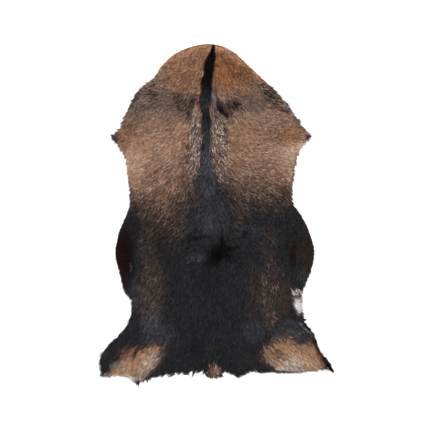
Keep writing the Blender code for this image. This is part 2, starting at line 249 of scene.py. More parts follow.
# Soft patches of colour, painted one over another. Share is how much of the coat takes the colour, and
# streaks how much of that goes hair by hair. Tilt, in degrees, turns a patch anticlockwise.
PATCHES = table("name x y half_width half_length colour share streaks tilt", [
    # neck
    ("nape_left", -80, 440, 85, 60, "ginger", 0.95, 0.3),
    ("nape_right", 45, 415, 70, 75, "chestnut", 0.95, 0.3),
    ("nape_rim", -18, 474, 60, 16, "honey", 0.75, 0.3),
    ("nape_rim_left", -92, 455, 66, 15, "honey", 0.75, 0.35, 24),
    ("nape_rim_right", 40, 450, 46, 13, "honey", 0.65, 0.4, -36),
    ("rim_right", 108, 392, 34, 7, "honey", 0.5, 0.5, -42),
    ("nape_brown_left", -100, 375, 62, 22, "chestnut", 0.55, 0.6),
    ("ginger_left", -98, 366, 50, 34, "ginger", 0.45, 0.4),
    ("amber_left", -70, 342, 28, 20, "ginger", 0.55, 0.4),
    ("band_left", -150, 318, 75, 36, "dun", 0.9, 0.4),
    ("edge_left", -198, 334, 40, 50, "ink", 0.38, 1.0, -38),
    ("rim_left", -228, 335, 14, 50, "black", 0.75, 0.6, -32),
    ("pale_left", -204, 317, 16, 9, "frost", 0.32, 0.8),
    ("low_left", -206, 302, 22, 12, "lead", 0.6, 0.5),
    ("cluster_left", -97, 311, 17, 42, "ink", 0.58, 1.0, 48),
    ("temple_left", -55, 318, 24, 18, "ink", 0.8, 0.8),
    ("wing_left", -76, 294, 36, 26, "soot", 0.66, 0.9, 40),
    ("blond_tuft", -61, 286, 7, 20, "straw", 0.78, 0.8, -32),
    ("black_tufts_left", -76, 277, 8, 21, "ink", 0.85, 0.7, -20),
    ("black_tufts_low", -57, 264, 9, 12, "night", 0.6, 0.8, -20),
    ("amber_right", 25, 385, 30, 26, "amber", 0.6, 0.4),
    ("dark_flecks_right", 62, 396, 24, 16, "umber", 0.22, 1.0),
    ("band_right", 120, 322, 76, 30, "dun", 0.9, 0.4, 20),
    ("edge_right", 152, 334, 22, 52, "ink", 0.5, 1.0, 46),
    ("pale_right", 109, 345, 22, 12, "dun", 0.5, 0.8),
    ("rim_dark_right", 168, 343, 7, 24, "slate", 0.8, 0.7, 45),
    # painted shade of a fold at the right of the neck
    ("fold_right", 182, 293, 32, 5, "ink", 0.8, 0.7, -8),
    ("tuft_right", 201, 304, 9, 11, "slate", 0.8, 0.6, 20),
    ("wing_right", 36, 290, 34, 30, "soot", 0.42, 0.9),
    ("temple_right_high", 58, 334, 24, 14, "smoke", 0.6, 0.7),
    ("temple_right", 50, 307, 25, 17, "ink", 0.8, 0.8, -14),
    ("temple_right_low", 46, 293, 26, 16, "ink", 0.56, 1.0, 30),
    # shoulders
    ("rim_left", -240, 266, 20, 46, "taupe", 0.75, 0.5, -28),
    ("grey_left", -228, 288, 24, 15, "lead", 0.4, 0.9),
    ("rim_right", 232, 252, 12, 34, "smoke", 0.5, 0.8, 38),
    ("rust_left", -240, 210, 38, 24, "rust", 0.7, 0.4),
    ("rust_right", 200, 213, 42, 23, "rust", 0.95, 0.3),
    ("chest_left", -176, 184, 62, 46, "sand", 0.78, 0.4),
    ("chest_left_edge", -233, 145, 32, 42, "straw", 0.55, 0.4),
    ("chest_right", 196, 165, 42, 44, "sand", 0.75, 0.4),
    ("chest_right_inner", 120, 178, 50, 30, "sand", 0.35, 0.4),
    ("chest_right_edge", 213, 166, 20, 26, "straw", 0.4, 0.4),
    ("armpit_right", 234, 188, 14, 13, "straw", 0.85, 0.4),
    ("ribs_left_edge", -236, 96, 26, 26, "sand", 0.5, 0.5),
    ("ribs_right_edge", 206, 118, 18, 24, "sand", 0.4, 0.5),
    ("ochre_right", 72, 212, 44, 56, "ochre", 0.6, 0.3),
    ("elbow_left", -289, 212, 14, 15, "night", 0.9, 0.5),
    ("elbow_right", 263, 216, 12, 9, "ink", 0.9, 0.5),
    ("ribs_hairs_left", -254, 128, 4, 34, "black", 0.6, 0.8, 10),
    ("ribs_spikes_left", -243, 64, 6, 26, "black", 0.9, 0.4, 4),
    ("ribs_hairs_right", 221, 120, 5, 44, "black", 0.7, 0.7, -9),
    # wool beside the spine
    ("wool_left", -62, 190, 18, 78, "wool", 0.95, 0.3),
    ("frost_left", -60, 230, 14, 36, "frost", 0.6, 0.4),
    ("beside_wool", -98, 224, 20, 52, "sand", 0.45, 0.4),
    ("wool_right", 8, 191, 21, 72, "wool", 0.95, 0.3),
    ("frost_right", 0, 268, 13, 40, "ash", 0.55, 0.6),
    ("strokes_right", 15, 298, 13, 38, "ink", 0.85, 0.8, 25),
    ("strokes_right_core", 18, 286, 5, 26, "jet", 0.95, 0.3, 32),
    ("stripe_side_right", -3, 312, 9, 46, "lead", 0.7, 0.6),
    ("ash_streak", -5, 326, 5, 28, "ash", 0.85, 0.4, 4),
    ("strokes_right_low", 27, 240, 5, 18, "smoke", 0.7, 0.7, 10),
    # where the cape fades
    ("ribs_left_low", -160, 84, 52, 28, "sand", 0.24, 0.4),
    ("ginger_spots", 118, 54, 14, 10, "rust", 0.35, 0.9),
    ("speckles_right", 64, -12, 24, 44, "sepia", 0.22, 0.9),
    ("speckles_right_low", 109, -46, 30, 16, "slate", 0.45, 0.8),
    ("speckles_left_low", -101, -44, 26, 18, "lead", 0.35, 0.8),
    ("sheen_right", 27, 0, 20, 24, "slate", 0.4, 0.5),
    ("dark_spot_high", 193, 58, 14, 20, "black", 0.6, 0.5),
    ("dark_spot_low", 81, -56, 8, 14, "jet", 0.7, 0.5),
    # back
    # the sheen rows are painted sheen: light reflected off the black hair, painted in bluish grey
    ("sheen_high", -25, 76, 17, 26, "steel", 0.7, 0.5),
    ("sheen", -22, -5, 54, 56, "slate", 0.58, 0.4),
    ("sheen_core", -22, -18, 14, 36, "steel", 0.4, 0.8),
    ("sheen_tufts", -48, -118, 28, 13, "steel", 0.45, 0.7),
    # painted shade of a fold across the back
    ("crease", -48, -66, 40, 4, "jet", 0.7, 0.3, 8),
    ("whorl_shade", 6, -112, 32, 42, "jet", 0.72, 0.5, -50),
    ("whorl_side", 66, -128, 20, 18, "ink", 0.7, 0.5),
    ("back_low", -17, -188, 28, 36, "ink", 0.45, 0.5),
    ("whorl_up", 17, -80, 5, 22, "jet", 1.0, 0.1),
    ("whorl_right", 47, -94, 26, 4, "jet", 0.95, 0.2, 6),
    ("whorl_left", -3, -118, 14, 28, "jet", 1.0, 0.05, -50),
    ("whorl_low", 31, -118, 5, 19, "jet", 0.95, 0.2, 33),
    ("waist_left", -230, -32, 16, 72, "ink", 0.55, 0.5),
    ("waist_right", 212, -40, 22, 40, "ink", 0.3, 0.4),
    ("waist_right_low", 198, -92, 28, 26, "ink", 0.55, 0.4),
    # flanks
    ("left_high", -190, -90, 24, 60, "sepia", 0.38, 0.8),
    ("left", -181, -215, 34, 105, "sepia", 0.65, 0.7),
    ("left_low", -180, -298, 26, 30, "lead", 0.8, 0.6),
    ("left_core", -184, -215, 24, 70, "taupe", 0.14, 1.0),
    ("left_edge", -226, -222, 14, 40, "lead", 0.45, 0.6),
    ("right_high", 147, -90, 24, 64, "sepia", 0.24, 0.8),
    ("right", 146, -232, 38, 84, "sepia", 0.6, 0.8),
    ("right_core", 150, -215, 30, 60, "dun", 0.1, 1.0),
    ("right_edge", 190, -228, 20, 64, "umber", 0.85, 0.5),
    ("right_low", 151, -294, 20, 18, "taupe", 0.4, 0.9),
    ("right_inner", 100, -235, 20, 90, "umber", 0.6, 0.6),
    ("ginger_fleck", 165, -198, 6, 8, "rust", 0.4, 0.9),
    # belly
    ("left", -264, -115, 28, 80, "bay", 1.0, 0.1),
    # painted shade in the curled left flap
    ("left_dark", -243, -125, 12, 54, "jet", 0.6, 0.2),
    ("left_glint", -241, -146, 3, 12, "sepia", 0.7, 0.5),
    ("right", 252, -112, 25, 72, "liver", 1.0, 0.1),
    ("right_low", 238, -172, 14, 22, "slate", 0.55, 0.6),
    # painted shade along the crease of the right flap
    ("right_crease", 213, -114, 9, 42, "bay", 0.9, 0.2, -6),
    ("white_wisps", 224, -214, 17, 9, "white", 0.34, 1.0),
    ("white_tuft_top", 227, -232, 15, 10, "ash", 0.6, 0.7),
    ("white_tuft", 230, -254, 11, 18, "white", 0.93, 0.3, -8),
    # haunches
    ("left", -160, -335, 46, 36, "slate", 0.75, 0.4),
    ("right", 198, -324, 46, 24, "slate", 0.7, 0.4, 12),
    ("right_sheen", 228, -334, 26, 14, "lead", 0.6, 0.6),
    ("right_inner", 105, -322, 30, 30, "slate", 0.6, 0.5),
    ("rump_shade_left", -57, -360, 22, 34, "ink", 0.65, 0.5),
    ("red_brown", 98, -408, 34, 20, "umber", 0.25, 0.7),
    # left hind leg
    ("middle", -224, -420, 34, 66, "tan", 0.97, 0.4, -54),
    ("top", -178, -382, 28, 16, "tan", 0.8, 0.9, 20),
    ("high", -254, -388, 22, 18, "ginger", 0.38, 0.8, -20),
    ("inner", -152, -388, 12, 14, "sepia", 0.6, 0.9),
    ("heel", -276, -442, 18, 28, "tan", 0.95, 0.4, -54),
    ("tip", -230, -462, 24, 11, "cream", 0.8, 0.8),
    ("outer", -318, -400, 18, 46, "black", 0.95, 0.3, -24),
    ("heel_light", -264, -424, 22, 16, "straw", 0.5, 0.7),
    ("cream", -194, -420, 18, 40, "cream", 0.46, 0.9, -42),
    ("hem", -256, -460, 50, 9, "cream", 0.75, 0.7, -6),
    ("brow", -256, -372, 26, 9, "soot", 0.22, 0.9, 20),
    ("slit", -223, -384, 5, 22, "umber", 1.0, 0.1, -20),
    ("spot", -284, -420, 9, 13, "ash", 0.75, 0.5, -30),
    ("point", -219, -474, 9, 12, "black", 0.95, 0.5),
    # right hind leg
    ("left", 190, -394, 48, 42, "tan", 0.97, 0.65),
    ("right", 258, -402, 46, 38, "tan", 0.97, 0.5, 30),
    ("pale", 198, -420, 46, 22, "cream", 0.62, 0.85, 10),
    ("strokes", 176, -391, 16, 28, "umber", 0.4, 1.0, 45),
    ("amber", 142, -388, 8, 20, "tan", 0.5, 0.7, 20),
    ("corner", 140, -432, 18, 12, "ink", 0.75, 0.6, -30),
    ("hem", 176, -438, 40, 5, "black", 0.8, 0.7),
    ("heel", 286, -404, 18, 24, "rust", 0.5, 0.6, 30),
    ("heel_light", 276, -424, 22, 10, "straw", 0.45, 0.6),
    ("notch", 226, -352, 7, 10, "slate", 0.8, 0.4),
    ("outer", 290, -380, 12, 50, "jet", 1.0, 0.1, 30),
    ("tip", 321, -428, 9, 22, "jet", 1.0, 0.1, 38),
    ("gleam", 250, -320, 3, 22, "ash", 0.5, 0.9, 35),
    ("rim", 264, -308, 5, 40, "jet", 0.9, 0.2, 32),
    # tail
    ("tail", -4, -438, 15, 22, "sand", 0.54, 0.6),
], defaults=(0,))

# The dark stripe along the spine, between its two borders.
STRIPE = table("y left right blur colour", [
    (480, -14, -4, 3, "jet"),
    (457, -17, -5, 3, "jet"),
    (443, -26, -3, 3, "jet"),
    (429, -34, -5, 5, "jet"),
    (415, -36, -5, 6, "jet"),
    (401, -35, -6, 4, "jet"),
    (375, -45, -11, 4, "jet"),
    (345, -41, -9, 5, "ink"),
    (331, -45, -11, 7, "black"),
    (310, -44, -14, 8, "night"),
    (289, -43, -19, 8, "black"),
    (272, -41, -18, 7, "ink"),
    (258, -44, -12, 8, "black"),
    (236, -42, -14, 9, "night"),
    (216, -40, -10, 11, "slate"),
    (205, -40, -14, 12, "slate"),
    (184, -45, -22, 12, "slate"),
    (163, -47, -12, 12, "steel"),
    (149, -46, -12, 12, "steel"),
    (130, -47, -11, 14, "steel"),
    (107, -58, -4, 20, "slate"),
    (84, -66, 16, 24, "slate"),
    (60, -66, 18, 30, "slate"),
])
STRIPE_STREAKS = 0.8
STRIPE_WANDER = 0.35  # share of the wander of other colours
STRIPE_FADE_MM = 30.0

# Which way the hair is combed, as a turn from straight tailwards to the animal's right.
COMBINGS = table("name x y radius turn_deg", [
    # left side
    ("nape", -60, 440, 50, -38),
    ("neck_inner", -50, 350, 40, -28),
    ("neck", -100, 385, 40, -60),
    ("neck_edge", -155, 350, 40, -88),
    ("withers", -53, 290, 40, -32),
    ("shoulder_high", -130, 290, 45, -54),
    ("shoulder", -150, 245, 40, -74),
    ("shoulder_edge", -215, 260, 50, -52),
    ("elbow", -265, 220, 40, -60),
    ("ribs_inner", -60, 190, 40, -26),
    ("ribs", -150, 180, 60, -50),
    ("ribs_edge", -225, 150, 50, -52),
    ("loin_inner", -90, 100, 45, -34),
    ("loin_edge", -205, 100, 45, -60),
    ("flank_high", -140, 30, 70, -48),
    ("waist", -210, 10, 50, -32),
    ("back_high", -60, 20, 45, -18),
    ("back", -80, -90, 45, -55),
    ("flank", -140, -90, 60, -48),
    ("belly", -262, -110, 35, -5),
    ("haunch", -180, -200, 60, -32),
    ("rump", -90, -200, 60, -20),
    ("thigh", -190, -290, 60, -25),
    ("leg", -210, -380, 55, -38),
    ("leg_edge", -290, -400, 40, -40),
    # spine
    ("spine_high", -28, 400, 40, -8),
    # right side
    ("nape", 45, 410, 50, 48),
    ("neck", 70, 340, 50, 50),
    ("neck_edge", 148, 315, 40, 80),
    ("withers", 0, 290, 35, 32),
    ("shoulder_high", 100, 280, 40, 55),
    ("shoulder", 150, 215, 65, 92),
    ("shoulder_inner", 50, 250, 40, 46),
    ("ribs_inner", 0, 180, 35, 28),
    ("ribs", 125, 165, 55, 88),
    ("ribs_edge", 205, 170, 40, 70),
    ("loin_inner", 60, 110, 45, 46),
    ("loin", 115, 100, 40, 75),
    ("loin_edge", 185, 90, 45, 48),
    ("flank_high", 110, 30, 60, 48),
    ("waist", 195, 10, 50, 28),
    ("back", -5, -10, 40, 10),
    ("flank", 110, -60, 45, 42),
    ("belly", 250, -90, 40, -8),
    ("flank_low", 195, -150, 45, -2),
    ("haunch_high", 150, -140, 45, 14),
    ("haunch", 135, -220, 70, 14),
    ("white_tuft", 218, -240, 26, 84),
    ("thigh", 160, -305, 50, 34),
    ("thigh_edge", 205, -310, 45, 56),
    ("rump", 98, -355, 35, 60),
    ("leg", 190, -390, 60, 46),
    ("leg_edge", 275, -400, 40, 45),
    # rump and tail
    ("rump", 0, -260, 80, 0),
    ("rump_low_left", -95, -425, 45, -48),
    ("rump_low_right", 100, -420, 40, 46),
    ("tail", -10, -430, 50, 0),
])
USUAL_COMBING = (0.0, -0.02)  # tailwards, where no row reaches
WHORL = (0.018, -0.099)
WHORL_RADIUS = 0.024

# Where the hair is shorter or longer than elsewhere, curlier, stands in higher tufts or varies more in
# brightness. Tufts and contrast are added to the usual ones.
GROWTHS = table("name x y half_width half_length length curl_deg tuft_mm contrast", [
    ("nape", -10, 430, 120, 60, 0.75, 3, -0.2, -0.15),
    ("wool_left", -61, 186, 24, 84, 0.9, 11, 1.6, 1.9),
    ("wool_right", 9, 183, 24, 84, 0.9, 11, 1.6, 2.1),
    ("chest_left", -236, 150, 30, 46, 0.9, -3, -0.2, -0.3),
    ("chest_right", 216, 165, 30, 40, 0.9, -3, -0.2, -0.3),
    ("temples", -8, 305, 90, 34, 1.25, -4, 0.6, 0.6),
    ("fade_left", -130, 30, 90, 100, 0.9, 2, 0.5, 0.9),
    ("fade_right", 110, 40, 90, 90, 0.9, 2, 0.5, 0.7),
    ("whorl", 18, -99, 26, 26, 0.75, 4, 1.2, 0.2),
    ("flank_left", -180, -190, 40, 130, 1.0, 0, 0.3, 0.3),
    ("flank_right", 145, -190, 40, 130, 1.0, 0, 0.3, 0.3),
    ("belly_left", -262, -100, 32, 90, 0.55, -8, -0.7, -0.5),
    ("belly_right", 252, -100, 28, 95, 0.55, -8, -0.7, -0.3),
    ("leg_left", -220, -415, 60, 45, 1.3, -9, 0.4, 0.0),
    ("leg_right", 215, -400, 70, 40, 1.3, -9, 0.4, 0.0),
    ("white_tuft", 232, -245, 22, 34, 1.2, -4, 0.8, -0.3),
    ("tail", -6, -436, 24, 26, 1.2, 0, 0.6, 0.6),
])

# The guard hair is one piece for each stretch of the back, named after it, down to its lower border.
STRETCHES = table("name down_to", [
    ("hair_neck", 0.290),
    ("hair_shoulders", 0.170),
    ("hair_ribs", 0.030),
    ("hair_loin", -0.090),
    ("hair_flanks", -0.220),
    ("hair_haunches", -0.350),
    ("hair_legs", -1.000),
])

# Longer wisps of hair that hang over the edge, from the middle of their base to their tip. Width is that
# of the base.
WISPS = table("name base_x base_y tip_x tip_y width hairs", [
    ("neck_left", -212, 351, -224, 346, 9, 26),
    ("neck_left_middle", -221, 338, -236, 331, 12, 44),
    ("neck_left_low", -226, 325, -239, 318, 10, 36),
    ("shoulder_left", -241, 300, -252, 294, 7, 24),
    ("shoulder_left_low", -253, 276, -265, 269, 8, 26),
    ("shoulder_right_high", 195, 309, 208, 304, 10, 40),
    ("shoulder_right_upper", 202, 297, 215, 289, 10, 36),
    ("shoulder_right", 229, 263, 241, 255, 9, 30),
    ("ribs_left_first", -235, 87, -250, 74, 4, 30),
    ("ribs_left_second", -234, 77, -250, 62, 5, 34),
    ("ribs_left_third", -233, 67, -249, 51, 5, 34),
    ("ribs_left_fourth", -232, 58, -248, 41, 4, 30),
    ("ribs_right_first", 213, 144, 230, 141, 5, 26),
    ("ribs_right_second", 210, 127, 227, 120, 5, 22),
    ("ribs_right_third", 207, 102, 222, 92, 5, 22),
    ("ribs_right_fourth", 204, 79, 218, 66, 5, 26),
    ("elbow_left", -280, 216, -298, 227, 9, 54),
    ("elbow_left_low", -279, 210, -289, 206, 9, 24),
    ("elbow_right", 250, 218, 268, 222, 8, 36),
    ("elbow_right_high", 243, 224, 257, 232, 8, 20),
    ("shank_left", -318, -390, -331, -399, 9, 30),
    ("shank_left_middle", -322, -410, -330, -423, 8, 22),
    ("shank_left_low", -321, -428, -328, -443, 8, 22),
    ("hock_left", -316, -440, -323, -458, 9, 30),
    ("patch_left_point", -219, -462, -225, -483, 7, 30),
    ("patch_left_second", -208, -458, -212, -472, 6, 18),
    ("rump_left_outer", -122, -446, -143, -459, 6, 20),
    ("rump_left_lobe", -82, -441, -99, -447, 10, 36),
    ("rump_left_lobe_low", -84, -442, -94, -451, 8, 20),
    ("rump_left_long", -61, -436, -73, -461, 7, 34),
    ("tail_side_left", -24, -446, -23, -461, 9, 30),
    ("tail_side_right", 10, -446, 13, -460, 8, 26),
    ("rump_right_lobe", 58, -446, 67, -459, 12, 44),
    ("rump_right_outer", 121, -437, 133, -448, 7, 24),
    ("patch_left_hem", -240, -450, -247, -464, 10, 24),
    ("patch_left_hem_outer", -254, -447, -262, -458, 10, 20),
    ("patch_left_hem_inner", -230, -454, -236, -471, 8, 20),
])

# Light and view.
FLOOR_SIZE = 16.0
FLOOR_DROP = 0.0003
FLOOR_COLOUR = (0.92, 0.92, 0.92, 1)
FLOOR_ROUGHNESS = 0.9
CAMERA_PLACE = (-0.0042, -0.0004, 3.0)
CAMERA_LENS = 89.7
WORLD_STRENGTH = 0.75
LAMPS = table("name x y z size power", [
    ("key", -1.2, 1.6, 2.4, 1.6, 95),
    ("fill", 1.6, -0.6, 2.6, 2.2, 45),
])


def unit(vectors, least=0.0):
    """The vectors at length 1, or a little less where they are hardly longer than the least length."""
    return vectors / (np.linalg.norm(vectors, axis=1)[:, None] + least)


def to_linear(levels):
    """Linear colour of levels from 0 to 255."""
    share = np.asarray(levels, float) / 255
    return np.where(share <= 0.04045, share / 12.92, ((share + 0.055) / 1.055) ** 2.4)


COLOURS = {
    name: np.maximum(to_linear(levels) - SHEEN, LEAST_COLOUR) * COLOUR_GAIN
    for name, levels in PALETTE.items()
}


def smooth_step(value):
    held = np.clip(value, 0, 1)
    return held * held * (3 - 2 * held)


def soft_patch(squared_distance):
    """1 in the middle of a patch, and a half at the distance 1."""
    return np.exp(-(squared_distance**2) * np.log(2))


class Plan:
    """Numbers on a regular grid over the floor, read between the grid's points by blending."""

    def __init__(self, values, step=GRID_STEP):
        self.values = values
        self.step = step

    def at(self, places):
        where = (places - PLAN_LOW) / self.step
        where = np.clip(where, 0, np.array(self.values.shape) - GRID_END)
        cell = where.astype(int)
        share = where - cell
        column, row = cell[:, 0], cell[:, 1]
        right, up = share[:, 0], share[:, 1]
        near = self.values[column, row] * (1 - right) + self.values[column + 1, row] * right
        far = self.values[column, row + 1] * (1 - right) + self.values[column + 1, row + 1] * right
        return near * (1 - up) + far * up


def cloud(rng, size):
    """Smooth random numbers from -1 to 1, whose highs and lows are about that size."""
    counts = np.ceil((PLAN_HIGH - PLAN_LOW) / size).astype(int) + 2
    return Plan(rng.uniform(-1, 1, counts), size)


def skin_rim():
    """The skin's rim in order, as rows of x, y, height of its lower side and thickness."""
    mesh = bmesh.new()
    mesh.from_mesh(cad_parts[SKIN].data)
    bmesh.ops.remove_doubles(mesh, verts=mesh.verts, dist=WELD)
    beside = {}
    for edge in mesh.edges:
        slopes = sorted(face.normal.z for face in edge.link_faces)
        if len(slopes) == 2 and slopes[0] < UNDERSIDE_SLOPE and abs(slopes[1]) < WALL_SLOPE:
            for vert in edge.verts:
                beside.setdefault(vert, []).append(edge.other_vert(vert))
    start = min(beside, key=lambda vert: vert.index)
    before, vert = None, start
    rim = []
    while True:
        over = [
            edge.other_vert(vert).co.z
            for edge in vert.link_edges
            if (edge.other_vert(vert).co.xy - vert.co.xy).length < WELD
        ]
        rim.append((vert.co.x, vert.co.y, vert.co.z, max(over) - vert.co.z))
        before, vert = vert, next(other for other in beside[vert] if other is not before)
        if vert is start:
            mesh.free()
            return np.array(rim)


def fill_line(points, step):
    """Points along a closed line, a step apart."""
    filled = []
    for start, end in zip(points, np.roll(points, -1, axis=0)):
        count = max(int(np.ceil(np.linalg.norm(end - start) / step)), 1)
        filled.append(start + (end - start) * np.arange(count)[:, None] / count)
    return np.concatenate(filled)


def is_within(places, outline):
    """Whether a closed outline goes round each place."""
    inside = np.zeros(len(places), bool)
    for start, end in zip(outline, np.roll(outline, -1, axis=0)):
        crossed = (start[1] > places[:, 1]) != (end[1] > places[:, 1])
        share = (places[:, 1] - start[1]) / (end[1] - start[1] or 1)
        inside ^= crossed & (places[:, 0] < start[0] + (end[0] - start[0]) * share)
    return inside


def tree_of(points):
    tree = KDTree(len(points))
    for index, point in enumerate(points):
        tree.insert((point[0], point[1], 0), index)
    tree.balance()
    return tree


def nearest(tree, places):
    """Index and distance of the nearest point of the tree to each place."""
    found = [tree.find((x, y, 0)) for x, y in places]
    return np.array([row[1] for row in found]), np.array([row[2] for row in found])


def spread_outwards(values, known):
    """Carries known values on to their unknown neighbours, ring by ring."""
    values = np.where(known, values, 0.0)
    for _ in range(SPREAD_STEPS):
        total = np.zeros_like(values)
        count = np.zeros_like(values)
        for axis in (0, 1):
            for shift in (-1, 1):
                near = np.roll(known, shift, axis)
                total += np.where(near, np.roll(values, shift, axis), 0)
                count += near
        fresh = ~known & (count > 0)
        values[fresh] = total[fresh] / count[fresh]
        known = known | fresh
    return values


def measure_heights(places):
    """Heights of the upper and lower side of the skin at each place, and whether the skin is there."""
    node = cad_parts[SKIN].data
    tree = BVHTree.FromPolygons(
        [vert.co for vert in node.vertices], [tuple(face.vertices) for face in node.polygons]
    )
    down, up = Vector((0, 0, -1)), Vector((0, 0, 1))
    heights = np.zeros((len(places), 2))
    is_there = np.zeros(len(places), bool)
    for index, (x, y) in enumerate(places):
        top = tree.ray_cast(Vector((x, y, RAY_START)), down)[0]
        bottom = tree.ray_cast(Vector((x, y, -RAY_START)), up)[0]
        if top and bottom:
            heights[index] = top.z, bottom.z
            is_there[index] = True
    return heights[:, 0], heights[:, 1], is_there


def grid_places():
    """The points of the plan's grid, and their number in each direction."""
    counts = np.ceil((PLAN_HIGH - PLAN_LOW) / GRID_STEP).astype(int) + 1
    columns, rows = np.meshgrid(np.arange(counts[0]), np.arange(counts[1]), indexing="ij")
    return PLAN_LOW + np.stack([columns.ravel(), rows.ravel()], 1) * GRID_STEP, counts


def hex_places(spacing):
    """Points in staggered rows all over the plan."""
    row_spacing = spacing * np.sqrt(3) / 2
    columns = np.arange(int((PLAN_HIGH[0] - PLAN_LOW[0]) / spacing) + 1)
    rows = np.arange(int((PLAN_HIGH[1] - PLAN_LOW[1]) / row_spacing) + 1)
    column, row = np.meshgrid(columns, rows, indexing="ij")
    x = PLAN_LOW[0] + (column + row % 2 / 2) * spacing
    return np.stack([x.ravel(), PLAN_LOW[1] + (row * row_spacing).ravel()], 1)


def blend(colours, colour, share, streaks, pick):
    """Mixes a colour in, partly evenly and partly as single hairs that take it whole."""
    taken = share * (1 - streaks) + (pick < share) * streaks
    colours += (np.asarray(colour) - colours) * taken[:, None]


def between(value, stops, names):
    """Colours of places between stops, each of which has a named colour."""
    parts = [np.interp(value, stops, [COLOURS[name][part] for name in names]) for part in range(3)]
    return np.stack(parts, 1)


def coat_colours(places, pick):
    """Colour of the coat at each place. Pick, from 0 to 1, decides which hairs a streaky colour takes."""
    rng = np.random.default_rng(SEED)
    wander = np.zeros_like(places)
    for row in WANDERS:
        ways = [cloud(rng, row.cloud_size).at(places) for _ in range(2)]
        wander += np.stack(ways, 1) * row.reach_mm
    x, y = (places / MM + wander).T
    border_x, *borders = zip(*CAPE_BORDER)
    full, none = [np.interp(x, border_x, border) for border in borders]
    into_cape = (y - none) / (full - none) + (pick - 0.5) * FADE_STREAKS
    colours = between(into_cape, *zip(*CAPE_FADE))
    for patch in PATCHES:
        turn = np.radians(patch.tilt)
        away_x, away_y = x - patch.x, y - patch.y
        across = (away_x * np.cos(turn) + away_y * np.sin(turn)) / patch.half_width
        along = (away_y * np.cos(turn) - away_x * np.sin(turn)) / patch.half_length
        share = patch.share * soft_patch(across**2 + along**2)
        blend(colours, COLOURS[patch.colour], share, patch.streaks, pick)
    x, y = (places / MM + wander * STRIPE_WANDER).T
    stripe_y, *measures, names = zip(*STRIPE[::-1])
    left, right, blur = [np.interp(y, stripe_y, measure) for measure in measures]
    inside = np.minimum(x - left, right - x) / blur + 0.5 + (pick - 0.5) * STRIPE_STREAKS
    share = smooth_step(inside) * smooth_step((y - stripe_y[0]) / STRIPE_FADE_MM)
    colours += (between(y, stripe_y, names) - colours) * share[:, None]
    return colours


def turned(flow, angles):
    cos, sin = np.cos(angles), np.sin(angles)
    return np.stack([flow[:, 0] * cos - flow[:, 1] * sin, flow[:, 0] * sin + flow[:, 1] * cos], 1)


def comb(places):
    """Unit vectors along which the hair lies at each place."""
    flow = np.tile(USUAL_COMBING, (len(places), 1))
    for row in COMBINGS:
        turn = np.radians(row.turn_deg)
        away = np.linalg.norm(places / MM - (row.x, row.y), axis=1) / row.radius
        flow += np.exp(-away**2)[:, None] * (np.sin(turn), -np.cos(turn))
    flow = unit(flow)
    from_whorl = places - WHORL
    distance = np.linalg.norm(from_whorl, axis=1)[:, None] + WELD
    burst = np.exp(-(distance / WHORL_RADIUS) ** 2)
    flow = flow * (1 - burst) + from_whorl / distance * burst
    return unit(flow, WELD)


def growth_at(places):
    """Share of the usual length, spread of direction, height of tufts and contrast at each place."""
    total = np.zeros((len(places), 4))
    for row in GROWTHS:
        away = (places / MM - (row.x, row.y)) / (row.half_width, row.half_length)
        share = soft_patch((away**2).sum(1))
        total += share[:, None] * (row.length - 1, row.curl_deg, row.tuft_mm * MM, row.contrast)
    return 1 + total[:, 0], total[:, 1], total[:, 2], 1 + total[:, 3]


def grow_clumps(rng):
    """Roots and tips of the hairs that cover the skin, with each hair's clump and rise."""
    clumps = hex_places(CLUMP_SPACING)
    clumps += rng.uniform(-1, 1, clumps.shape) * CLUMP_JITTER * CLUMP_SPACING
    clumps = clumps[inset_plan.at(clumps) > EDGE_CLEARANCE]
    count = len(clumps)
    length_share, curl, tuft, _ = growth_at(clumps)
    turn_deg = np.maximum(CLUMP_TURN_DEG + curl, LEAST_TURN_DEG)
    clump_turn = np.radians(rng.normal(0, 1, count) * turn_deg)
    clump_rise = rng.uniform(*CLUMP_RISES, count) * np.maximum(CLUMP_RISE + tuft, LEAST_RISE)
    clump_length = HAIR_LENGTH * length_share * (1 + rng.uniform(-1, 1, count) * CLUMP_LENGTH_SPREAD)
    clump_fringe = rng.uniform(*FRINGES, count)
    flow = turned(comb(clumps), clump_turn)

    of_clump = np.repeat(np.arange(count), HAIRS_PER_CLUMP)
    hairs = len(of_clump)
    angle = rng.uniform(0, 2 * np.pi, hairs)
    offset = np.sqrt(rng.uniform(0, 1, hairs)) * CLUMP_RADIUS
    roots = clumps[of_clump] + np.stack([np.cos(angle), np.sin(angle)], 1) * offset[:, None]
    way = turned(flow[of_clump], np.radians(rng.normal(0, HAIR_TURN_DEG, hairs)))
    tips = roots + way * (clump_length[of_clump] * rng.uniform(*HAIR_LENGTHS, hairs))[:, None]
    goal = clumps[of_clump] + flow[of_clump] * clump_length[of_clump][:, None]
    tips += (goal - tips) * (TIP_PULL * rng.uniform(*TIP_PULLS, hairs))[:, None]

    stray = 1 + (rng.uniform(0, 1, hairs) < STRAY_SHARE) * rng.uniform(*STRAY_REACH, hairs)
    fringe = np.maximum(fringe_plan.at(roots), LEAST_FRINGE) * clump_fringe[of_clump] * stray
    inset_root, inset_tip = inset_plan.at(roots), inset_plan.at(tips)
    drop = np.maximum(inset_root - inset_tip, LEAST_DROP)
    allowed = np.where(inset_tip < -fringe, (inset_root + fringe) / drop, 1.0)
    tips = roots + (tips - roots) * np.clip(allowed, SHORTEST_KEPT, 1)[:, None]
    rise = clump_rise[of_clump] + rng.normal(0, HAIR_RISE, hairs)
    return roots, tips, of_clump, rise


def rim_locks():
    """Base, tip and width vector of each lock at the rim, and its number of hairs."""
    bases = (lock_starts + lock_ends) / 2
    return bases, lock_tips[:, :2], lock_ends - lock_starts, np.full(len(bases), HAIRS_PER_LOCK)


